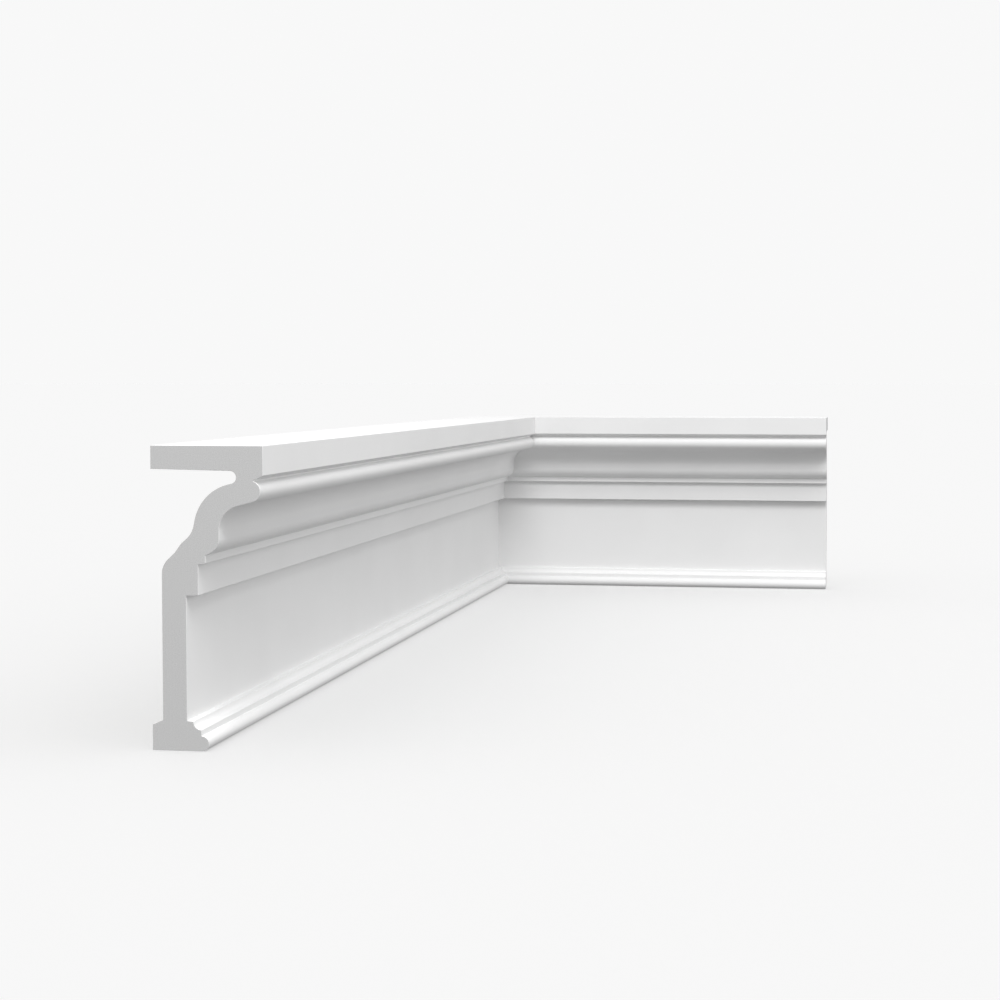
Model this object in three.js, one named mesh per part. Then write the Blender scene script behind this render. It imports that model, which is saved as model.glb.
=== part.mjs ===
// Wall cornice moulding, hollow at the back: two straight lengths of one profile that
// meet in a mitre at an inside corner.
//
// Millimetres, +Z up. The long length runs along Y and the short length along X. Both back
// faces are flat, ready to lie against the walls. The origin is on the underside, at the
// middle of the whole plan.
//
// The profile is drawn in two axes: "out" is the distance from the wall, "up" is the
// height above the underside.

import * as THREE from 'three';

// Lengths, from the corner of the walls to the square cut end
const leftRunLength = 1200;
const rightRunLength = 412;

// Room between the two mitred faces
const mitreGap = 0.3;

// Whole profile
const mouldingHeight = 200;

// Corona: the upright band at the top, with its slanting underside
const coronaOut = 75.8;
const coronaFaceHeight = 19.3;
const coronaUndersideFall = 2.9;

// Bead under the corona, and the short upright neck that joins them behind the bead's front
const beadRadius = 7;
const beadBehindCorona = 1.8;
const beadNeckDepth = 4.4;
const beadNeckHeight = 0.9;

// Ogee: a cove running down into a round, each given by the corner that it rounds
const coveCornerDrop = 20.1;
const coveRadius = 16.9;
const riserDrop = 24.1;
const roundRadius = 9;
const roundProud = 9.3;
const roundDrop = 5.2;

// Fillet below the ogee and the flat fascia below that
const filletProud = 4.9;
const filletHeight = 5.1;
const filletUndersideFall = 0.7;
const fasciaProud = 8.15;
const fasciaHeight = 20.2;
const fasciaUndersideFall = 0.3;

// Web behind the tall plain frieze, and the air behind the web
const webThickness = 16.5;
const webGap = 7.15;

// Base mouldings at the bottom: ledge, cavetto, fillet and half round
const baseLedgeWidth = 4.25;
const baseLedgeFall = 0.4;
const cavettoRadius = 5.5;
const baseFilletHeight = 4;
const halfRoundRadius = 5;

// Foot at the back, which lies against the wall
const footHeight = 16.9;
const footShoulderRise = 3.1;

// Flange at the top back, and the rounded tip of the hollow under it
const flangeThickness = 15.3;
const flangeUndersideFall = 1.1;
const hollowTipHeight = 7.55;
const hollowTipRadius = 4.1;

// Material between each front corner and the hollow behind it
const tipWallOut = 11.8;
const coveWallOut = 12.6;
const coveWallUp = 14.1;
const roundWallOut = 18;
const roundWallUp = 9.2;
const filletWallOut = 16.5;
const filletWallUp = 7.7;
const fasciaWallOut = 15.6;
const fasciaWallUp = 7.8;
const webTopDrop = 0.7;

// Radii of the hollow's corners, from the web up to the cove
const webTopRadius = 13;
const fasciaHollowRadius = 8;
const filletHollowRadius = 8;
const roundHollowRadius = 16;
const coveHollowRadius = 30.5;

// Fineness of every round stretch, and the shortest edge that an outline keeps
const arcStep = THREE.MathUtils.degToRad(5);
const shortestEdge = 0.01;

// Finish: white factory primer
const finish = { color: 0xe7e7e7, roughness: 0.62, metalness: 0 };

// Points along a round stretch, both ends included
function arc(centre, radius, fromAngle, toAngle) {
  const steps = Math.max(2, Math.ceil(Math.abs(toAngle - fromAngle) / arcStep));
  const points = [];
  for (let i = 0; i <= steps; i += 1) {
    const angle = fromAngle + ((toAngle - fromAngle) * i) / steps;
    points.push(new THREE.Vector2(
      centre.x + radius * Math.cos(angle),
      centre.y + radius * Math.sin(angle),
    ));
  }
  return points;
}

// Half of the angle that an open outline turns through at corner i
function halfTurn(corners, i) {
  const arriving = corners[i].at.clone().sub(corners[i - 1].at);
  const leaving = corners[i + 1].at.clone().sub(corners[i].at);
  return Math.atan2(arriving.cross(leaving), arriving.dot(leaving)) / 2;
}

// How far from corner i its rounding starts, when it has room
function setback(corners, i) {
  const isEnd = i === 0 || i === corners.length - 1;
  return isEnd ? 0 : corners[i].radius * Math.abs(Math.tan(halfTurn(corners, i)));
}

// Share of its rounding that corner i keeps, so that neighbouring roundings don't run together
function room(corners, i) {
  const wanted = setback(corners, i);
  const before = corners[i].at.distanceTo(corners[i - 1].at) / (wanted + setback(corners, i - 1));
  const after = corners[i].at.distanceTo(corners[i + 1].at) / (wanted + setback(corners, i + 1));
  return Math.min(1, before, after);
}

// Open outline through corners, each rounded by its radius; the two ends stay sharp
function roundedOutline(corners) {
  const points = [corners[0].at];
  for (let i = 1; i < corners.length - 1; i += 1) {
    const { at, radius } = corners[i];
    const turn = halfTurn(corners, i);
    if (radius === 0 || turn === 0) {
      points.push(at);
      continue;
    }
    const back = corners[i - 1].at.clone().sub(at).normalize();
    const onward = corners[i + 1].at.clone().sub(at).normalize();
    const fitted = radius * room(corners, i);
    const centre = back.clone().add(onward).normalize()
      .multiplyScalar(fitted / Math.cos(turn)).add(at);
    const start = back.multiplyScalar(fitted * Math.abs(Math.tan(turn))).add(at).sub(centre);
    points.push(...arc(centre, fitted, start.angle(), start.angle() + 2 * turn));
  }
  points.push(corners.at(-1).at);
  return points;
}

const corner = (out, up, radius = 0) => ({ at: new THREE.Vector2(out, up), radius });

// How far each band stands out from the wall, worked outwards from the web
const friezeOut = webGap + webThickness;
const fasciaOut = friezeOut + fasciaProud;
const filletOut = fasciaOut + filletProud;
const riserOut = filletOut + roundProud;
const baseFilletOut = friezeOut + baseLedgeWidth + cavettoRadius;
const beadOut = coronaOut - beadBehindCorona;
const beadNeckOut = beadOut - beadNeckDepth;

// Heights of the profile's levels, worked down from the top and up from the underside
const coronaBottom = mouldingHeight - coronaFaceHeight;
const beadNeckTop = coronaBottom - coronaUndersideFall;
const beadTop = beadNeckTop - beadNeckHeight;
const coveCornerUp = beadNeckTop - coveCornerDrop;
const roundCornerUp = coveCornerUp - riserDrop;
const filletTop = roundCornerUp - roundDrop;
const filletBottom = filletTop - filletHeight;
const fasciaTop = filletBottom - filletUndersideFall;
const fasciaBottom = fasciaTop - fasciaHeight;
const friezeTop = fasciaBottom - fasciaUndersideFall;
const baseFilletBottom = 2 * halfRoundRadius;
const baseFilletTop = baseFilletBottom + baseFilletHeight;
const cavettoTop = baseFilletTop + cavettoRadius;
const friezeBottom = cavettoTop + baseLedgeFall;

// Front of the corona's underside and the bead that hangs below it
function coronaAndBead() {
  const neckAngle = Math.acos(1 - beadNeckDepth / beadRadius);
  const centre = new THREE.Vector2(
    beadOut - beadRadius,
    beadTop - beadRadius * Math.sin(neckAngle),
  );
  const toCentre = centre.clone().sub(new THREE.Vector2(riserOut, coveCornerUp));
  const soffitAngle = toCentre.angle() - Math.asin(beadRadius / toCentre.length());
  return [
    new THREE.Vector2(coronaOut, mouldingHeight),
    new THREE.Vector2(coronaOut, coronaBottom),
    new THREE.Vector2(beadNeckOut, beadNeckTop),
    ...arc(centre, beadRadius, neckAngle, soffitAngle - Math.PI / 2),
  ];
}

// Ogee, from the end of the bead down to the fillet
function ogee(beadEnd) {
  return roundedOutline([
    { at: beadEnd, radius: 0 },
    corner(riserOut, coveCornerUp, coveRadius),
    corner(riserOut, roundCornerUp, roundRadius),
    corner(filletOut, filletTop),
  ]);
}

// Fillet, fascia and frieze
function flatBands() {
  return [
    new THREE.Vector2(filletOut, filletBottom),
    new THREE.Vector2(fasciaOut, fasciaTop),
    new THREE.Vector2(fasciaOut, fasciaBottom),
    new THREE.Vector2(friezeOut, friezeTop),
    new THREE.Vector2(friezeOut, friezeBottom),
  ];
}

// Cavetto, fillet and half round at the bottom
function baseMouldings() {
  const cavettoCentre = new THREE.Vector2(baseFilletOut, cavettoTop);
  const halfRoundCentre = new THREE.Vector2(baseFilletOut, halfRoundRadius);
  return [
    ...arc(cavettoCentre, cavettoRadius, -Math.PI, -Math.PI / 2),
    ...arc(halfRoundCentre, halfRoundRadius, Math.PI / 2, -Math.PI / 2),
  ];
}

// Back of the moulding: foot, web, the hollow that follows the ogee, and the flange
function backOutline() {
  const flangeBottom = mouldingHeight - flangeThickness;
  const tipOut = beadNeckOut - tipWallOut;
  const tipTop = flangeBottom - flangeUndersideFall;
  return roundedOutline([
    corner(0, 0),
    corner(0, footHeight),
    corner(webGap, footHeight + footShoulderRise),
    corner(webGap, fasciaTop - webTopDrop, webTopRadius),
    corner(fasciaOut - fasciaWallOut, fasciaTop + fasciaWallUp, fasciaHollowRadius),
    corner(filletOut - filletWallOut, filletTop + filletWallUp, filletHollowRadius),
    corner(riserOut - roundWallOut, roundCornerUp + roundWallUp, roundHollowRadius),
    corner(riserOut - coveWallOut, coveCornerUp + coveWallUp, coveHollowRadius),
    corner(tipOut, tipTop - hollowTipHeight, hollowTipRadius),
    corner(tipOut, tipTop, hollowTipRadius),
    corner(0, flangeBottom),
    corner(0, mouldingHeight),
  ]);
}

// Closed profile of the moulding
function profile() {
  const top = coronaAndBead();
  const outline = [
    ...top,
    ...ogee(top.at(-1)),
    ...flatBands(),
    ...baseMouldings(),
    ...backOutline(),
  ];
  const isNew = (point, i) => i === 0 || point.distanceTo(outline[i - 1]) > shortestEdge;
  return new THREE.Shape(outline.filter(isNew));
}

// One length of moulding, drawn out along the extrusion's own z axis, with one end mitred
function lengthGeometry(length, mitredAtStart) {
  const geometry = new THREE.ExtrudeGeometry(profile(), { depth: length, bevelEnabled: false });
  const position = geometry.getAttribute('position');
  const middle = length / 2;
  for (let i = 0; i < position.count; i += 1) {
    const cutBack = position.getX(i) + mitreGap / Math.SQRT2;
    const isAtStart = position.getZ(i) < middle;
    if (isAtStart && mitredAtStart) {
      position.setZ(i, cutBack);
    } else if (!isAtStart && !mitredAtStart) {
      position.setZ(i, length - cutBack);
    }
  }
  geometry.computeVertexNormals();
  return geometry;
}

function mouldingLength(name, length, mitredAtStart) {
  const mesh = new THREE.Mesh(
    lengthGeometry(length, mitredAtStart),
    new THREE.MeshStandardMaterial(finish),
  );
  mesh.name = name;
  return mesh;
}

// The corner of the walls, seen from the origin
const wallCorner = new THREE.Vector3(-rightRunLength / 2, leftRunLength / 2, 0);

// Long length: back to the left wall, running from the corner towards -Y
const leftLength = mouldingLength('left_length', leftRunLength, true);
leftLength.rotation.x = Math.PI / 2;
leftLength.position.copy(wallCorner);

// Short length: back to the right wall, running from its square end back to the corner
const rightLength = mouldingLength('right_length', rightRunLength, false);
rightLength.rotation.set(Math.PI / 2, 0, -Math.PI / 2, 'ZYX');
rightLength.position.copy(wallCorner);
rightLength.position.x += rightRunLength;

const cornice = new THREE.Group();
cornice.add(leftLength, rightLength);

export default cornice;
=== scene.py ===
# Cornice moulding in two lengths that meet in a mitre, dressed and lit for a picture.
#
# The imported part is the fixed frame. Each length is made again from the same profile, with
# eased edges and finished surfaces, and stands for its plain solid. Metres, +Z up, with
# the origin on the underside. The profile is drawn in two axes: "out" is the distance
# from the flat back, and "up" is the height above the underside.

from math import acos, asin, atan2, ceil, cos, pi, radians, sin, sqrt, tan

import bmesh
import bpy
import numpy as np
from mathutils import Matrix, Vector


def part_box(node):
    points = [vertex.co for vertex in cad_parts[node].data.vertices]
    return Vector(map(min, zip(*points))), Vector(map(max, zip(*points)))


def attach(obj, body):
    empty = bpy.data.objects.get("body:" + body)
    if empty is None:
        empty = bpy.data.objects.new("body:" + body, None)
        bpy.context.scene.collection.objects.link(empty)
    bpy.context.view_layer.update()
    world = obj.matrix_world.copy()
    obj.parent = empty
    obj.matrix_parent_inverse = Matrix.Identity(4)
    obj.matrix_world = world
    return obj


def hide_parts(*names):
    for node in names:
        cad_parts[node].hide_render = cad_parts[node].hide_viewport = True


bl_info = {
    "name": "Cornice Moulding",
    "version": (1, 0, 0),
    "blender": (4, 5, 0),
    "location": "3D View > Sidebar > Cornice",
    "description": "Makes a cornice moulding that turns an inside corner in a mitre",
    "category": "Add Mesh",
}

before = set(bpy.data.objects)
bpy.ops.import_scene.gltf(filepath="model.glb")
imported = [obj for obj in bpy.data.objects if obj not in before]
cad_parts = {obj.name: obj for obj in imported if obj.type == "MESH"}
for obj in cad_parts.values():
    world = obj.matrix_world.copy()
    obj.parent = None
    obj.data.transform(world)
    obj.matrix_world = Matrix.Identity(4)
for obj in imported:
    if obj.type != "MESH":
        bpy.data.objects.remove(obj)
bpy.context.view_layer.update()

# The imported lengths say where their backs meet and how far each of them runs
left_low, left_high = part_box("left_length")
right_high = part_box("right_length")[1]
BACK_CORNER = Vector((left_low.x, right_high.y, 0.0))

# Fineness of round stretches and eased corners
ARC_STEP = radians(4)
EASING_STEPS = 4
CUT_EDGE_STEPS = 3
SHORTEST_EDGE = 0.00001

# An outline turning more than this has a corner, and an edge bent more than that is sharp
CORNER_TURN = radians(15)
SHARP_EDGE = radians(40)

# Order of the materials in a length's slots
PRIMED, RAW, SAWN = range(3)

# Levels of ever finer noise in each kind of texture
PATCH_DETAIL = 3.0
STREAK_DETAIL = 2.0
GRAIN_DETAIL = 4.0

# Where nearly all of a noise mask lies, and how much darker its low end is than its high end
MASK_RANGE = (0.3, 0.7)
PRIMER_THIN = 0.97
RAW_DULL = 0.93
CORE_DARK = 0.8

# How far the roughness of each finish strays from its setting
PRIMER_STRAY = 0.04
RAW_STRAY = 0.08
CORE_STRAY = 0.06

# Depth of the fine relief in each finish
PRIMED_STREAK_DEPTH = 0.00001
PRIMER_GRAIN_DEPTH = 0.00003
RAW_STREAK_DEPTH = 0.00006
SAW_MARK_DEPTH = 0.00001
CELL_DEPTH = 0.00008

# A wave texture at this scale repeats once a metre. Saw marks wander a little off straight
WAVE_SCALE = pi / 10
SAW_WANDER = 1.2
SAW_WANDER_DETAIL = 2.0
SAW_WANDER_SCALE = 0.6

# Stage
WHITE = (1.0, 1.0, 1.0, 1.0)
SENSOR_WIDTH = 36.0
NEAREST_SEEN = 0.05
HORIZON_SOFTNESS = 0.9
MIDDLE = Vector((0.0, 0.0, left_high.z / 2))

# Softboxes by the setting of their power: how far each stands to the right of the front and
# above the part, seen from the part's middle
SOFTBOXES = {
    "key_power": (radians(20), radians(50)),
    "top_power": (radians(0), radians(65)),
    "side_power": (radians(85), radians(14)),
}
SOFTBOX_SIDES = (2.0, 1.4)


# Settings

def size(name, description, metres):
    """A length that a user may change"""
    return bpy.props.FloatProperty(
        name=name,
        description=description,
        default=metres,
        min=0.0,
        precision=5,
        subtype="DISTANCE",
        unit="LENGTH",
    )


def colour(name, description, value):
    """A colour that a user may change"""
    return bpy.props.FloatVectorProperty(
        name=name,
        description=description,
        default=value,
        min=0.0,
        max=1.0,
        size=3,
        subtype="COLOR",
    )


def share(name, description, value):
    """A share from 0 to 1 that a user may change"""
    return bpy.props.FloatProperty(
        name=name,
        description=description,
        default=value,
        min=0.0,
        max=1.0,
        subtype="FACTOR",
    )


def power(name, description, watts):
    """The power of a light that a user may change"""
    return bpy.props.FloatProperty(
        name=name,
        description=description,
        default=watts,
        min=0.0,
        unit="POWER",
    )


class CORNICE_PG_profile(bpy.types.PropertyGroup):
    """Cross-section of the moulding, the same in both lengths"""

    moulding_height: size("Height", "Underside to top", left_high.z)

    # Corona: the upright band at the top, with its slanting underside
    corona_out: size("Corona Out", "Back to the corona's face", left_high.x - left_low.x)
    corona_face_height: size("Corona Face", "Height of the corona's face", 0.0193)
    corona_underside_fall: size("Corona Fall", "Fall of the corona's underside", 0.0029)

    # Bead under the corona, and the short upright neck that joins them
    bead_radius: size("Bead Radius", "Radius of the bead under the corona", 0.007)
    bead_behind_corona: size("Bead Setback", "Bead's front behind the corona", 0.0018)
    bead_neck_depth: size("Neck Depth", "Depth of the neck behind the bead's front", 0.0044)
    bead_neck_height: size("Neck Height", "Height of the neck above the bead", 0.0009)

    # Ogee: a cove running down into a round
    cove_corner_drop: size("Cove Drop", "Top of the neck down to the cove's corner", 0.0201)
    cove_radius: size("Cove Radius", "Radius of the ogee's hollow half", 0.0169)
    riser_drop: size("Riser Drop", "Height between the corners of the ogee", 0.0241)
    round_radius: size("Round Radius", "Radius of the ogee's round half", 0.009)
    round_proud: size("Round Proud", "Riser in front of the fillet", 0.0093)
    round_drop: size("Round Drop", "Round's corner down to the fillet", 0.0052)

    # Fillet below the ogee and the flat fascia below that
    fillet_proud: size("Fillet Proud", "Fillet in front of the fascia", 0.0049)
    fillet_height: size("Fillet Height", "Height of the fillet", 0.0051)
    fillet_underside_fall: size("Fillet Fall", "Fall of the fillet's underside", 0.0007)
    fascia_proud: size("Fascia Proud", "Fascia in front of the frieze", 0.00815)
    fascia_height: size("Fascia Height", "Height of the fascia", 0.0202)
    fascia_underside_fall: size("Fascia Fall", "Fall of the fascia's underside", 0.0003)

    # Web behind the tall plain frieze, and the air behind the web
    web_thickness: size("Web", "Thickness of the web behind the frieze", 0.0165)
    web_gap: size("Web Gap", "Depth of the air behind the web", 0.00715)

    # Base mouldings at the bottom: ledge, cavetto, fillet and half round
    base_ledge_width: size("Ledge", "Width of the ledge above the cavetto", 0.00425)
    base_ledge_fall: size("Ledge Fall", "Fall of the ledge", 0.0004)
    cavetto_radius: size("Cavetto Radius", "Radius of the cavetto", 0.0055)
    base_fillet_height: size("Base Fillet", "Height of the base's fillet", 0.004)
    half_round_radius: size("Half Round", "Radius of the base's half round", 0.005)

    # Foot at the back, flange at the top back, and the rounded tip of the hollow
    foot_height: size("Foot", "Height of the foot's flat back", 0.0169)
    foot_shoulder_rise: size("Foot Shoulder", "Rise of the foot's shoulder", 0.0031)
    flange_thickness: size("Flange", "Thickness of the flange at the back", 0.0153)
    flange_underside_fall: size("Flange Fall", "Fall of the flange's underside", 0.0011)
    hollow_tip_height: size("Tip Height", "Height of the hollow's tip", 0.00755)
    hollow_tip_radius: size("Tip Radius", "Radius of the hollow's tip", 0.0041)

    # Material between each front corner and the hollow behind it
    tip_wall_out: size("Tip Wall", "Bead's neck to the hollow's tip", 0.0118)
    cove_wall_out: size("Cove Wall Out", "Cove's corner to the hollow, outwards", 0.0126)
    cove_wall_up: size("Cove Wall Up", "Cove's corner to the hollow, upwards", 0.0141)
    round_wall_out: size("Round Wall Out", "Round's corner to the hollow, outwards", 0.018)
    round_wall_up: size("Round Wall Up", "Round's corner to the hollow, upwards", 0.0092)
    fillet_wall_out: size("Fillet Wall Out", "Fillet to the hollow, outwards", 0.0165)
    fillet_wall_up: size("Fillet Wall Up", "Fillet to the hollow, upwards", 0.0077)
    fascia_wall_out: size("Fascia Wall Out", "Fascia to the hollow, outwards", 0.0156)
    fascia_wall_up: size("Fascia Wall Up", "Fascia to the hollow, upwards", 0.0078)
    web_top_drop: size("Web Top", "Top of the fascia down to the top of the web", 0.0007)

    # Radii of the hollow's corners, from the web up to the cove
    web_top_radius: size("Web Top Radius", "Radius at the top of the web", 0.013)
    fascia_hollow_radius: size("Fascia Hollow", "Radius behind the fascia", 0.008)
    fillet_hollow_radius: size("Fillet Hollow", "Radius behind the fillet", 0.008)
    round_hollow_radius: size("Round Hollow", "Radius behind the round", 0.016)
    cove_hollow_radius: size("Cove Hollow", "Radius behind the cove", 0.0305)

    # How far each band stands out from the back, worked outwards from the web
    @property
    def frieze_out(self):
        return self.web_gap + self.web_thickness

    @property
    def fascia_out(self):
        return self.frieze_out + self.fascia_proud

    @property
    def fillet_out(self):
        return self.fascia_out + self.fillet_proud

    @property
    def riser_out(self):
        return self.fillet_out + self.round_proud

    @property
    def base_fillet_out(self):
        return self.frieze_out + self.base_ledge_width + self.cavetto_radius

    @property
    def bead_out(self):
        return self.corona_out - self.bead_behind_corona

    # Levels of the profile, worked down from the top
    @property
    def neck_top(self):
        return self.moulding_height - self.corona_face_height - self.corona_underside_fall

    @property
    def cove_corner_up(self):
        return self.neck_top - self.cove_corner_drop

    @property
    def round_corner_up(self):
        return self.cove_corner_up - self.riser_drop

    @property
    def fillet_top(self):
        return self.round_corner_up - self.round_drop

    @property
    def fascia_top(self):
        return self.fillet_top - self.fillet_height - self.fillet_underside_fall


class CORNICE_PG_lengths(bpy.types.PropertyGroup):
    """How far the lengths run, and how their edges are finished"""

    left_run: size("Left Run", "Back corner to the left square end", right_high.y - left_low.y)
    right_run: size("Right Run", "Back corner to the right square end", right_high.x - left_low.x)
    mitre_gap: size("Mitre Gap", "Room between the two mitred faces", 0.00004)
    edge_easing: size("Edge Easing", "How far each edge of the profile is eased", 0.0003)
    cut_edge: size("Cut Edge", "Radius round the square cut ends", 0.0002)


class CORNICE_PG_finishes(bpy.types.PropertyGroup):
    """Colours and textures of the three kinds of surface"""

    primer: colour("Primer", "Factory primer on the front, top and underside", (0.8, 0.8, 0.8))
    raw: colour("Raw Back", "Unprimed surface inside the hollow", (0.74, 0.74, 0.72))
    core: colour("Core", "Sawn core at the cut ends", (0.645, 0.645, 0.645))
    primer_roughness: share("Primer Roughness", "Roughness of the primer", 0.6)
    raw_roughness: share("Raw Roughness", "Roughness of the raw back", 0.5)
    core_roughness: share("Core Roughness", "Roughness of the sawn core", 0.85)
    patch_size: size("Patch Size", "Size of the faint patches in every surface", 0.07)
    streak_width: size("Streak Width", "Width of the lines that the die leaves", 0.0016)
    streak_length: size("Streak Length", "Length of the lines that the die leaves", 0.6)
    primer_grain: size("Primer Grain", "Size of the primer's fine texture", 0.0011)
    core_grain: size("Core Grain", "Size of the core's cells", 0.0006)
    saw_pitch: size("Saw Pitch", "Distance between saw marks", 0.0022)


class CORNICE_PG_stage(bpy.types.PropertyGroup):
    """Floor, light and camera"""

    floor_size: size("Floor Size", "Side of the square floor", 400.0)
    floor_colour: colour("Floor Colour", "Matt floor under the moulding", (0.85, 0.85, 0.85))
    floor_glow: share("Floor Glow", "Light that the floor gives off of itself", 0.25)
    backdrop: colour("Backdrop", "Empty background", (0.94, 0.94, 0.94))
    sky_light: bpy.props.FloatProperty(
        name="Sky Light",
        description="Even light from above",
        default=0.855,
        min=0.0,
    )
    ground_light: bpy.props.FloatProperty(
        name="Ground Light",
        description="Even light from below",
        default=0.27,
        min=0.0,
    )
    key_power: power("Key Light", "Softbox high in front and a little to the right", 50.0)
    top_power: power("Top Light", "Softbox higher up in front", 21.0)
    side_power: power("Side Light", "Softbox low on the right", 17.0)
    softbox_distance: size("Softbox Distance", "Middle of the part to each softbox", 3.0)
    lens: bpy.props.FloatProperty(
        name="Lens",
        description="Focal length on a sensor 36 mm wide",
        default=76.258,
        min=1.0,
        unit="CAMERA",
    )
    camera_place: bpy.props.FloatVectorProperty(
        name="Camera Place",
        description="Where the camera stands",
        default=(0.2565, -1.9192, 0.2416),
        size=3,
        subtype="TRANSLATION",
        unit="LENGTH",
    )
    camera_tilt: bpy.props.FloatProperty(
        name="Camera Tilt",
        description="How far the camera looks down",
        default=radians(3.2056),
        subtype="ANGLE",
        unit="ROTATION",
    )
    camera_turn: bpy.props.FloatProperty(
        name="Camera Turn",
        description="How far the camera turns to the left",
        default=radians(9.9385),
        subtype="ANGLE",
        unit="ROTATION",
    )


class CORNICE_PG_settings(bpy.types.PropertyGroup):
    """All settings of the cornice"""

    profile: bpy.props.PointerProperty(name="Profile", type=CORNICE_PG_profile)
    lengths: bpy.props.PointerProperty(name="Lengths", type=CORNICE_PG_lengths)
    finishes: bpy.props.PointerProperty(name="Finishes", type=CORNICE_PG_finishes)
    stage: bpy.props.PointerProperty(name="Stage", type=CORNICE_PG_stage)


# Outlines

def point(out, up):
    """A point of the profile"""
    return np.array([out, up])


def arc(centre, radius, start, end):
    """Points along a round stretch, both ends included"""
    steps = max(2, ceil(abs(end - start) / ARC_STEP))
    return [
        centre + radius * point(cos(angle), sin(angle))
        for angle in np.linspace(start, end, steps + 1)
    ]


def turn_at(before, here, after):
    """Angle that an outline turns through at a point, positive to the left"""
    arriving, leaving = here - before, after - here
    cross = arriving[0] * leaving[1] - arriving[1] * leaving[0]
    return atan2(cross, arriving @ leaving)


def rounded(corners):
    """Open outline through pairs of corner and radius; the two ends stay sharp"""
    places = np.array([place for place, _ in corners])
    radii = [radius for _, radius in corners]
    edges = np.linalg.norm(np.diff(places, axis=0), axis=1)
    turns = [0.0, *(turn_at(*places[i - 1 : i + 2]) for i in range(1, len(places) - 1)), 0.0]
    wanted = [radius * abs(tan(turn / 2)) for radius, turn in zip(radii, turns)]

    outline = [places[0]]
    for i in range(1, len(places) - 1):
        if wanted[i] == 0:
            outline.append(places[i])
            continue
        # Neighbouring roundings share an edge that is too short for both
        room = min(
            1.0,
            edges[i - 1] / (wanted[i - 1] + wanted[i]),
            edges[i] / (wanted[i] + wanted[i + 1]),
        )
        radius, half = radii[i] * room, turns[i] / 2
        back = (places[i - 1] - places[i]) / edges[i - 1]
        onward = (places[i + 1] - places[i]) / edges[i]
        middle = (back + onward) / np.linalg.norm(back + onward)
        centre = places[i] + middle * radius / cos(half)
        start = places[i] + back * wanted[i] * room - centre
        angle = atan2(start[1], start[0])
        outline += arc(centre, radius, angle, angle + 2 * half)
    return [*outline, places[-1]]


def eased(outline, width):
    """Open outline with each corner taken off in a small curve, width long on both sides"""
    outline = np.array(outline)
    steps = np.linalg.norm(np.diff(outline, axis=0), axis=1)
    travelled = np.concatenate([[0.0], np.cumsum(steps)])
    corners = [
        travelled[i]
        for i in range(1, len(outline) - 1)
        if abs(turn_at(*outline[i - 1 : i + 2])) > CORNER_TURN
    ]

    def at(distance):
        return point(*(np.interp(distance, travelled, axis) for axis in outline.T))

    result = []
    for distance, here in zip(travelled, outline):
        nearest = min(abs(corner - distance) for corner in corners)
        if nearest == 0:
            before, after = at(distance - width), at(distance + width)
            for t in np.linspace(0, 1, EASING_STEPS + 1):
                result.append((1 - t) ** 2 * before + 2 * t * (1 - t) * here + t**2 * after)
        elif nearest > width:
            result.append(here)
    return result


def corona_and_bead(profile):
    """Front of the corona, its underside and the bead that hangs below it"""
    corona_bottom = profile.moulding_height - profile.corona_face_height
    bead_top = profile.neck_top - profile.bead_neck_height
    neck = acos(1 - profile.bead_neck_depth / profile.bead_radius)
    centre = point(
        profile.bead_out - profile.bead_radius,
        bead_top - profile.bead_radius * sin(neck),
    )
    reach = centre - point(profile.riser_out, profile.cove_corner_up)
    soffit = atan2(reach[1], reach[0]) - asin(profile.bead_radius / np.linalg.norm(reach))
    return [
        point(profile.corona_out, profile.moulding_height),
        point(profile.corona_out, corona_bottom),
        point(profile.bead_out - profile.bead_neck_depth, profile.neck_top),
        *arc(centre, profile.bead_radius, neck, soffit - pi / 2),
    ]


def ogee(profile, bead_end):
    """Cove and round between the end of the bead and the fillet"""
    return rounded([
        (bead_end, 0.0),
        (point(profile.riser_out, profile.cove_corner_up), profile.cove_radius),
        (point(profile.riser_out, profile.round_corner_up), profile.round_radius),
        (point(profile.fillet_out, profile.fillet_top), 0.0),
    ])


def flat_bands(profile):
    """Fillet, fascia and frieze"""
    fascia_bottom = profile.fascia_top - profile.fascia_height
    ledge_up = 2 * profile.half_round_radius + profile.base_fillet_height + profile.cavetto_radius
    return [
        point(profile.fillet_out, profile.fillet_top - profile.fillet_height),
        point(profile.fascia_out, profile.fascia_top),
        point(profile.fascia_out, fascia_bottom),
        point(profile.frieze_out, fascia_bottom - profile.fascia_underside_fall),
        point(profile.frieze_out, ledge_up + profile.base_ledge_fall),
    ]


def base_mouldings(profile):
    """Cavetto, fillet and half round at the bottom"""
    out = profile.base_fillet_out
    fillet_top = 2 * profile.half_round_radius + profile.base_fillet_height
    cavetto_centre = point(out, fillet_top + profile.cavetto_radius)
    return [
        *arc(cavetto_centre, profile.cavetto_radius, -pi, -pi / 2),
        *arc(point(out, profile.half_round_radius), profile.half_round_radius, pi / 2, -pi / 2),
    ]


def primed_outline(profile):
    """Primed side: up the flange's back, over the top, down the front and under to the foot"""
    crown = corona_and_bead(profile)
    return [
        point(0.0, profile.moulding_height - profile.flange_thickness),
        point(0.0, profile.moulding_height),
        *crown,
        *ogee(profile, crown[-1])[1:],
        *flat_bands(profile),
        *base_mouldings(profile),
        point(0.0, 0.0),
        point(0.0, profile.foot_height),
    ]


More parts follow.
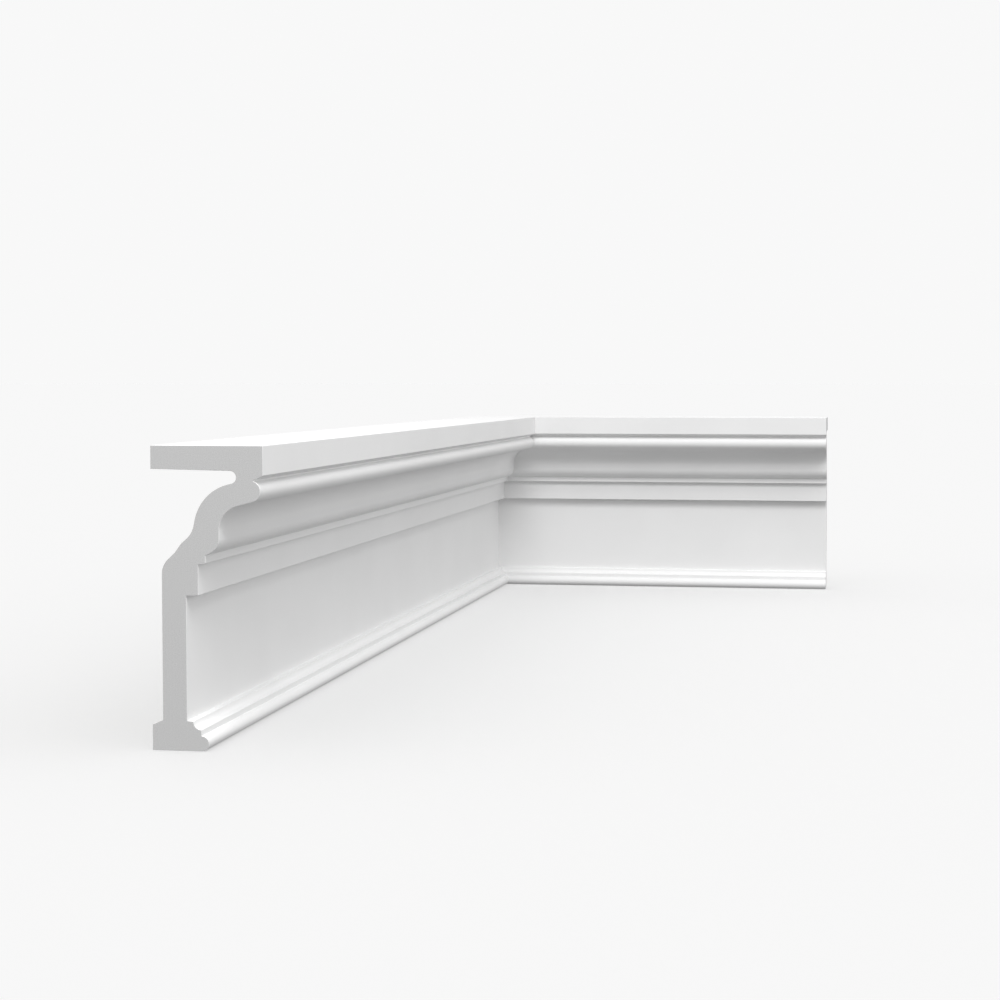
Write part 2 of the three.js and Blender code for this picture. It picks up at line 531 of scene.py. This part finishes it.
def hollow_outline(profile):
    """Raw side: from the foot up behind the web and the ogee to the flange"""
    flange_bottom = profile.moulding_height - profile.flange_thickness
    tip_out = profile.bead_out - profile.bead_neck_depth - profile.tip_wall_out
    tip_top = flange_bottom - profile.flange_underside_fall
    return rounded([
        (point(0.0, profile.foot_height), 0.0),
        (point(profile.web_gap, profile.foot_height + profile.foot_shoulder_rise), 0.0),
        (point(profile.web_gap, profile.fascia_top - profile.web_top_drop), profile.web_top_radius),
        (
            point(
                profile.fascia_out - profile.fascia_wall_out,
                profile.fascia_top + profile.fascia_wall_up,
            ),
            profile.fascia_hollow_radius,
        ),
        (
            point(
                profile.fillet_out - profile.fillet_wall_out,
                profile.fillet_top + profile.fillet_wall_up,
            ),
            profile.fillet_hollow_radius,
        ),
        (
            point(
                profile.riser_out - profile.round_wall_out,
                profile.round_corner_up + profile.round_wall_up,
            ),
            profile.round_hollow_radius,
        ),
        (
            point(
                profile.riser_out - profile.cove_wall_out,
                profile.cove_corner_up + profile.cove_wall_up,
            ),
            profile.cove_hollow_radius,
        ),
        (point(tip_out, tip_top - profile.hollow_tip_height), profile.hollow_tip_radius),
        (point(tip_out, tip_top), profile.hollow_tip_radius),
        (point(0.0, flange_bottom), 0.0),
    ])


def closed_outline(profile, easing):
    """Points once round the profile, and the material of the stretch after each point"""
    primed = eased(primed_outline(profile), easing)[:-1]
    hollow = eased(hollow_outline(profile), easing)[:-1]
    outline = np.array(primed + hollow)
    finishes = np.array([PRIMED] * len(primed) + [RAW] * len(hollow))
    far_enough = np.linalg.norm(outline - np.roll(outline, 1, axis=0), axis=1) > SHORTEST_EDGE
    return outline[far_enough], finishes[far_enough]


def inset(outline, distance):
    """Closed outline moved into the material"""
    arriving = outline - np.roll(outline, 1, axis=0)
    arriving /= np.linalg.norm(arriving, axis=1, keepdims=True)
    leaving = np.roll(arriving, -1, axis=0)
    inward = (arriving + leaving)[:, ::-1] * (1, -1)
    spread = 1 + np.sum(arriving * leaving, axis=1, keepdims=True)
    return outline + distance * inward / spread


# Lengths of moulding

def cross_sections(outline, run, lengths):
    """Outlines from the mitre to the square end, each with its points' distance along the run"""
    sections = [(outline, outline[:, 0] + lengths.mitre_gap / sqrt(2))]
    for angle in np.linspace(0, pi / 2, CUT_EDGE_STEPS + 1):
        smaller = inset(outline, lengths.cut_edge * (1 - cos(angle)))
        distance = run - lengths.cut_edge * (1 - sin(angle))
        sections.append((smaller, np.full(len(outline), distance)))
    return sections


def length_mesh(name, outline, finishes, sections, along, outward):
    """Closed mesh through the sections, with its cut faces last"""
    count = len(outline)
    vertices = [
        BACK_CORNER + along * distance + outward * out + Vector((0.0, 0.0, up))
        for section, distances in sections
        for (out, up), distance in zip(section, distances)
    ]
    faces = [
        (start + i, start + (i + 1) % count, start + count + (i + 1) % count, start + count + i)
        for start in range(0, count * (len(sections) - 1), count)
        for i in range(count)
    ]
    faces.append(range(count))
    faces.append(range(len(vertices) - count, len(vertices)))
    indices = [*np.tile(finishes, len(sections) - 1), SAWN, SAWN]

    mesh = bpy.data.meshes.new(name)
    mesh.from_pydata(vertices, [], faces)
    mesh.polygons.foreach_set("material_index", indices)
    mesh.shade_smooth()
    outside_out = bmesh.new()
    outside_out.from_mesh(mesh)
    bmesh.ops.recalc_face_normals(outside_out, faces=outside_out.faces)
    outside_out.to_mesh(mesh)
    outside_out.free()
    mesh.set_sharp_from_angle(angle=SHARP_EDGE)
    return mesh


def moulding_length(name, run, along, outward, settings, materials):
    """One length of moulding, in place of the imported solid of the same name"""
    outline, finishes = closed_outline(settings.profile, settings.lengths.edge_easing)
    sections = cross_sections(outline, run, settings.lengths)
    mesh = length_mesh(name, outline, finishes, sections, along, outward)
    for material in materials:
        mesh.materials.append(material)
    piece = bpy.data.objects.new("dressed_" + name, mesh)
    bpy.context.scene.collection.objects.link(piece)
    # Flat faces stay flat beside their eased edges
    flattening = piece.modifiers.new("Flat faces", "WEIGHTED_NORMAL")
    flattening.keep_sharp = True
    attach(piece, "root")
    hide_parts(name)
    return piece


# Shader nodes

def add_node(tree, kind, inputs=(), **options):
    """A node in a tree. Each input is a plain value, or the output that feeds it"""
    node = tree.nodes.new(kind)
    for option, value in options.items():
        setattr(node, option, value)
    for socket, value in dict(inputs).items():
        if isinstance(value, bpy.types.NodeSocket):
            tree.links.new(value, node.inputs[socket])
        else:
            node.inputs[socket].default_value = value
    return node


def new_group(name, inputs, outputs):
    """An empty shader node group, with its input and output nodes"""
    group = bpy.data.node_groups.new(name, "ShaderNodeTree")
    for label, kind in inputs.items():
        group.interface.new_socket(label, in_out="INPUT", socket_type=kind)
    for label, kind in outputs.items():
        group.interface.new_socket(label, in_out="OUTPUT", socket_type=kind)
    return group, group.nodes.new("NodeGroupInput"), group.nodes.new("NodeGroupOutput")


def run_coordinates():
    """Group that turns a place into out, along and up, which run alike in both lengths"""
    group, given, result = new_group(
        "Run Coordinates",
        {"Position": "NodeSocketVector", "Back Corner": "NodeSocketVector"},
        {"Coordinates": "NodeSocketVector"},
    )
    offset = add_node(
        group,
        "ShaderNodeVectorMath",
        {0: given.outputs["Position"], 1: given.outputs["Back Corner"]},
        operation="SUBTRACT",
    )
    axes = add_node(group, "ShaderNodeSeparateXYZ", {"Vector": offset.outputs["Vector"]})
    from_right_back = add_node(
        group, "ShaderNodeMath", {0: axes.outputs["Y"], 1: -1.0}, operation="MULTIPLY"
    )
    both = {0: axes.outputs["X"], 1: from_right_back.outputs["Value"]}
    out = add_node(group, "ShaderNodeMath", both, operation="MINIMUM")
    along = add_node(group, "ShaderNodeMath", both, operation="MAXIMUM")
    coordinates = add_node(
        group,
        "ShaderNodeCombineXYZ",
        {"X": out.outputs["Value"], "Y": along.outputs["Value"], "Z": axes.outputs["Z"]},
    )
    group.links.new(coordinates.outputs["Vector"], result.inputs["Coordinates"])
    return group


def patches():
    """Group for faint, soft patches, as in any sprayed or moulded surface"""
    group, given, result = new_group(
        "Patches",
        {"Coordinates": "NodeSocketVector", "Size": "NodeSocketFloat"},
        {"Mask": "NodeSocketFloat"},
    )
    scale = add_node(
        group, "ShaderNodeMath", {0: 1.0, 1: given.outputs["Size"]}, operation="DIVIDE"
    )
    noise = add_node(
        group,
        "ShaderNodeTexNoise",
        {
            "Vector": given.outputs["Coordinates"],
            "Scale": scale.outputs["Value"],
            "Detail": PATCH_DETAIL,
        },
    )
    group.links.new(noise.outputs["Fac"], result.inputs["Mask"])
    return group


def die_streaks():
    """Group for the fine lines that the die draws along the run"""
    group, given, result = new_group(
        "Die Streaks",
        {
            "Coordinates": "NodeSocketVector",
            "Width": "NodeSocketFloat",
            "Length": "NodeSocketFloat",
        },
        {"Mask": "NodeSocketFloat"},
    )
    steps = add_node(
        group,
        "ShaderNodeCombineXYZ",
        {
            "X": given.outputs["Width"],
            "Y": given.outputs["Length"],
            "Z": given.outputs["Width"],
        },
    )
    stretched = add_node(
        group,
        "ShaderNodeVectorMath",
        {0: given.outputs["Coordinates"], 1: steps.outputs["Vector"]},
        operation="DIVIDE",
    )
    noise = add_node(
        group,
        "ShaderNodeTexNoise",
        {"Vector": stretched.outputs["Vector"], "Scale": 1.0, "Detail": STREAK_DETAIL},
    )
    group.links.new(noise.outputs["Fac"], result.inputs["Mask"])
    return group


def grain():
    """Group for fine grain, finer than a millimetre or so"""
    group, given, result = new_group(
        "Grain",
        {"Coordinates": "NodeSocketVector", "Size": "NodeSocketFloat"},
        {"Height": "NodeSocketFloat"},
    )
    scale = add_node(
        group, "ShaderNodeMath", {0: 1.0, 1: given.outputs["Size"]}, operation="DIVIDE"
    )
    noise = add_node(
        group,
        "ShaderNodeTexNoise",
        {
            "Vector": given.outputs["Coordinates"],
            "Scale": scale.outputs["Value"],
            "Detail": GRAIN_DETAIL,
        },
    )
    group.links.new(noise.outputs["Fac"], result.inputs["Height"])
    return group


def add_group(tree, group, inputs):
    """A shared group placed in a tree"""
    return add_node(tree, "ShaderNodeGroup", inputs, node_tree=group)


def new_material(name):
    """A material, its node tree, and the shader that its surface takes"""
    material = bpy.data.materials.new(name)
    material.use_nodes = True
    tree = material.node_tree
    tree.nodes.clear()
    shader = add_node(tree, "ShaderNodeBsdfPrincipled")
    add_node(tree, "ShaderNodeOutputMaterial", {"Surface": shader.outputs["BSDF"]})
    return material, tree, shader


def along_the_run(tree, groups):
    """Coordinates of a surface, as out, along and up"""
    place = add_node(tree, "ShaderNodeTexCoord")
    run = add_group(
        tree,
        groups["run"],
        {"Position": place.outputs["Object"], "Back Corner": BACK_CORNER},
    )
    return run.outputs["Coordinates"]


def patch_mask(tree, groups, place, finishes):
    """Mask of the faint patches in a finish"""
    inputs = {"Coordinates": place, "Size": finishes.patch_size}
    return add_group(tree, groups["patches"], inputs).outputs["Mask"]


def streak_mask(tree, groups, place, finishes):
    """Mask of the die's lines in a finish"""
    inputs = {
        "Coordinates": place,
        "Width": finishes.streak_width,
        "Length": finishes.streak_length,
    }
    return add_group(tree, groups["streaks"], inputs).outputs["Mask"]


def grain_height(tree, groups, place, grain_size):
    """Height of the fine grain in a finish"""
    inputs = {"Coordinates": place, "Size": grain_size}
    return add_group(tree, groups["grain"], inputs).outputs["Height"]


def blend_colours(tree, mask, dark, light):
    """Colour between two others, by a mask that mostly lies in the middle of its range"""
    ramp = add_node(tree, "ShaderNodeValToRGB", {"Fac": mask})
    start, end = ramp.color_ramp.elements
    start.position, end.position = MASK_RANGE
    start.color, end.color = (*dark, 1.0), (*light, 1.0)
    return ramp.outputs["Color"]


def spread_value(tree, mask, middle, spread):
    """Value that a mask moves around a middle"""
    low, high = MASK_RANGE
    spread_out = add_node(
        tree,
        "ShaderNodeMapRange",
        {
            "Value": mask,
            "From Min": low,
            "From Max": high,
            "To Min": middle - spread,
            "To Max": middle + spread,
        },
    )
    return spread_out.outputs["Result"]


def add_relief(tree, shader, height, depth, under=None):
    """Fine relief of a given depth, laid over any relief under it"""
    inputs = {"Height": height, "Distance": depth}
    if under is not None:
        inputs["Normal"] = under
    bump = add_node(tree, "ShaderNodeBump", inputs)
    tree.links.new(bump.outputs["Normal"], shader.inputs["Normal"])
    return bump.outputs["Normal"]


def primed_material(finishes, groups):
    """Factory primer: even white, with a fine sprayed texture over faint lines of the die"""
    material, tree, shader = new_material("primed_face")
    place = along_the_run(tree, groups)
    patch = patch_mask(tree, groups, place, finishes)
    streak = streak_mask(tree, groups, place, finishes)
    texture = grain_height(tree, groups, place, finishes.primer_grain)
    thin = [channel * PRIMER_THIN for channel in finishes.primer]
    colour_out = blend_colours(tree, patch, thin, finishes.primer)
    tree.links.new(colour_out, shader.inputs["Base Color"])
    roughness = spread_value(tree, patch, finishes.primer_roughness, PRIMER_STRAY)
    tree.links.new(roughness, shader.inputs["Roughness"])
    lines = add_relief(tree, shader, streak, PRIMED_STREAK_DEPTH)
    add_relief(tree, shader, texture, PRIMER_GRAIN_DEPTH, lines)
    return material


def raw_material(finishes, groups):
    """Unprimed inside of the hollow, with the lines that the die leaves along the run"""
    material, tree, shader = new_material("raw_back")
    place = along_the_run(tree, groups)
    patch = patch_mask(tree, groups, place, finishes)
    streak = streak_mask(tree, groups, place, finishes)
    dull = [channel * RAW_DULL for channel in finishes.raw]
    colour_out = blend_colours(tree, streak, dull, finishes.raw)
    tree.links.new(colour_out, shader.inputs["Base Color"])
    roughness = spread_value(tree, patch, finishes.raw_roughness, RAW_STRAY)
    tree.links.new(roughness, shader.inputs["Roughness"])
    add_relief(tree, shader, streak, RAW_STREAK_DEPTH)
    return material


def sawn_material(finishes, groups):
    """Cut core: fine cells, crossed by the marks of the saw"""
    material, tree, shader = new_material("sawn_end")
    place = along_the_run(tree, groups)
    patch = patch_mask(tree, groups, place, finishes)
    cells = grain_height(tree, groups, place, finishes.core_grain)
    marks = add_node(
        tree,
        "ShaderNodeTexWave",
        {
            "Vector": place,
            "Scale": WAVE_SCALE / finishes.saw_pitch,
            "Distortion": SAW_WANDER,
            "Detail": SAW_WANDER_DETAIL,
            "Detail Scale": SAW_WANDER_SCALE,
        },
        bands_direction="X",
    ).outputs["Fac"]
    dark = [channel * CORE_DARK for channel in finishes.core]
    colour_out = blend_colours(tree, cells, dark, finishes.core)
    tree.links.new(colour_out, shader.inputs["Base Color"])
    roughness = spread_value(tree, patch, finishes.core_roughness, CORE_STRAY)
    tree.links.new(roughness, shader.inputs["Roughness"])
    scored = add_relief(tree, shader, marks, SAW_MARK_DEPTH)
    add_relief(tree, shader, cells, CELL_DEPTH, scored)
    return material


def length_materials(finishes):
    """The three materials of a length, in the order of its slots"""
    groups = {
        "run": run_coordinates(),
        "patches": patches(),
        "streaks": die_streaks(),
        "grain": grain(),
    }
    made = {
        PRIMED: primed_material(finishes, groups),
        RAW: raw_material(finishes, groups),
        SAWN: sawn_material(finishes, groups),
    }
    return [made[slot] for slot in sorted(made)]


# Stage

def softbox_receivers(floor):
    """What the softboxes light: everything but the floor, which stays evenly pale"""
    receivers = bpy.data.collections.new("lit_by_softboxes")
    receivers.objects.link(floor)
    receivers.collection_objects[0].light_linking.link_state = "EXCLUDE"
    return receivers


def softbox(watts, distance, turn, rise, receivers):
    """One large soft light, turned towards the part"""
    light = bpy.data.lights.new("softbox", "AREA")
    light.shape = "RECTANGLE"
    light.size, light.size_y = SOFTBOX_SIDES
    light.energy = watts
    lamp = bpy.data.objects.new("softbox", light)
    away = Vector((sin(turn) * cos(rise), -cos(turn) * cos(rise), sin(rise)))
    lamp.location = MIDDLE + away * distance
    lamp.rotation_mode = "QUATERNION"
    lamp.rotation_quaternion = (-away).to_track_quat("-Z", "Y")
    lamp.light_linking.receiver_collection = receivers
    bpy.context.scene.collection.objects.link(lamp)


def studio_surround(stage):
    """Even light, brighter from above, behind a plain backdrop"""
    world = bpy.data.worlds.new("studio_surround")
    world.use_nodes = True
    tree = world.node_tree
    tree.nodes.clear()
    direction = add_node(tree, "ShaderNodeTexCoord")
    axes = add_node(tree, "ShaderNodeSeparateXYZ", {"Vector": direction.outputs["Generated"]})
    light = add_node(
        tree,
        "ShaderNodeMapRange",
        {
            "Value": axes.outputs["Z"],
            "From Min": -HORIZON_SOFTNESS,
            "From Max": HORIZON_SOFTNESS,
            "To Min": stage.ground_light,
            "To Max": stage.sky_light,
        },
        interpolation_type="SMOOTHSTEP",
    )
    lighting = add_node(
        tree, "ShaderNodeBackground", {"Color": WHITE, "Strength": light.outputs["Result"]}
    )
    backdrop = add_node(tree, "ShaderNodeBackground", {"Color": (*stage.backdrop, 1.0)})
    seen = add_node(tree, "ShaderNodeLightPath")
    either = add_node(
        tree,
        "ShaderNodeMixShader",
        {
            "Fac": seen.outputs["Is Camera Ray"],
            1: lighting.outputs["Background"],
            2: backdrop.outputs["Background"],
        },
    )
    add_node(tree, "ShaderNodeOutputWorld", {"Surface": either.outputs["Shader"]})
    bpy.context.scene.world = world


def plain_floor(stage):
    """Pale matt floor under the moulding"""
    half = stage.floor_size / 2
    mesh = bpy.data.meshes.new("floor")
    corners = [(-half, -half, 0.0), (half, -half, 0.0), (half, half, 0.0), (-half, half, 0.0)]
    mesh.from_pydata(corners, [], [range(len(corners))])
    material = bpy.data.materials.new("matt_floor")
    material.use_nodes = True
    shader = material.node_tree.nodes["Principled BSDF"]
    shader.inputs["Base Color"].default_value = (*stage.floor_colour, 1.0)
    shader.inputs["Roughness"].default_value = 1.0
    shader.inputs["Specular IOR Level"].default_value = 0.0
    shader.inputs["Emission Color"].default_value = WHITE
    shader.inputs["Emission Strength"].default_value = stage.floor_glow
    mesh.materials.append(material)
    floor = bpy.data.objects.new("floor", mesh)
    bpy.context.scene.collection.objects.link(floor)
    # The floor takes shadows but throws no light up under the moulding
    floor.visible_diffuse = False
    floor.visible_glossy = False
    return floor


def camera(stage):
    """Camera at the photograph's viewing angle"""
    lens = bpy.data.cameras.new("camera")
    lens.lens = stage.lens
    lens.sensor_width = SENSOR_WIDTH
    lens.clip_start = NEAREST_SEEN
    lens.clip_end = stage.floor_size
    view = bpy.data.objects.new("camera", lens)
    view.location = stage.camera_place
    view.rotation_euler = (pi / 2 - stage.camera_tilt, 0.0, stage.camera_turn)
    bpy.context.scene.collection.objects.link(view)
    bpy.context.scene.camera = view


# Operators and panel

class CORNICE_OT_lengths(bpy.types.Operator):
    """Make both lengths of the moulding, with their finishes"""

    bl_idname = "cornice.lengths"
    bl_label = "Moulding Lengths"
    bl_options = {"REGISTER", "UNDO"}

    def execute(self, context):
        settings = context.scene.cornice
        materials = length_materials(settings.finishes)
        right, back = Vector((1.0, 0.0, 0.0)), Vector((0.0, 1.0, 0.0))
        left_run, right_run = settings.lengths.left_run, settings.lengths.right_run
        moulding_length("left_length", left_run, -back, right, settings, materials)
        moulding_length("right_length", right_run, right, -back, settings, materials)
        return {"FINISHED"}


class CORNICE_OT_stage(bpy.types.Operator):
    """Set the floor, the lights and the camera"""

    bl_idname = "cornice.stage"
    bl_label = "Stage"
    bl_options = {"REGISTER", "UNDO"}

    def execute(self, context):
        stage = context.scene.cornice.stage
        receivers = softbox_receivers(plain_floor(stage))
        studio_surround(stage)
        for setting, (turn, rise) in SOFTBOXES.items():
            softbox(getattr(stage, setting), stage.softbox_distance, turn, rise, receivers)
        camera(stage)
        context.scene.view_settings.view_transform = "Standard"
        return {"FINISHED"}


class CORNICE_PT_sidebar(bpy.types.Panel):
    """Lists the steps that make the cornice"""

    bl_idname = "CORNICE_PT_sidebar"
    bl_label = "Cornice Moulding"
    bl_space_type = "VIEW_3D"
    bl_region_type = "UI"
    bl_category = "Cornice"

    def draw(self, context):
        for step in STEPS:
            self.layout.operator(step.bl_idname)


STEPS = (CORNICE_OT_lengths, CORNICE_OT_stage)
CLASSES = (
    CORNICE_PG_profile,
    CORNICE_PG_lengths,
    CORNICE_PG_finishes,
    CORNICE_PG_stage,
    CORNICE_PG_settings,
    *STEPS,
    CORNICE_PT_sidebar,
)


def register():
    for each in CLASSES:
        bpy.utils.register_class(each)
    bpy.types.Scene.cornice = bpy.props.PointerProperty(type=CORNICE_PG_settings)


def unregister():
    del bpy.types.Scene.cornice
    for each in reversed(CLASSES):
        bpy.utils.unregister_class(each)


def main():
    """Make everything"""
    register()
    bpy.ops.cornice.lengths()
    bpy.ops.cornice.stage()


if __name__ == "__main__":
    main()
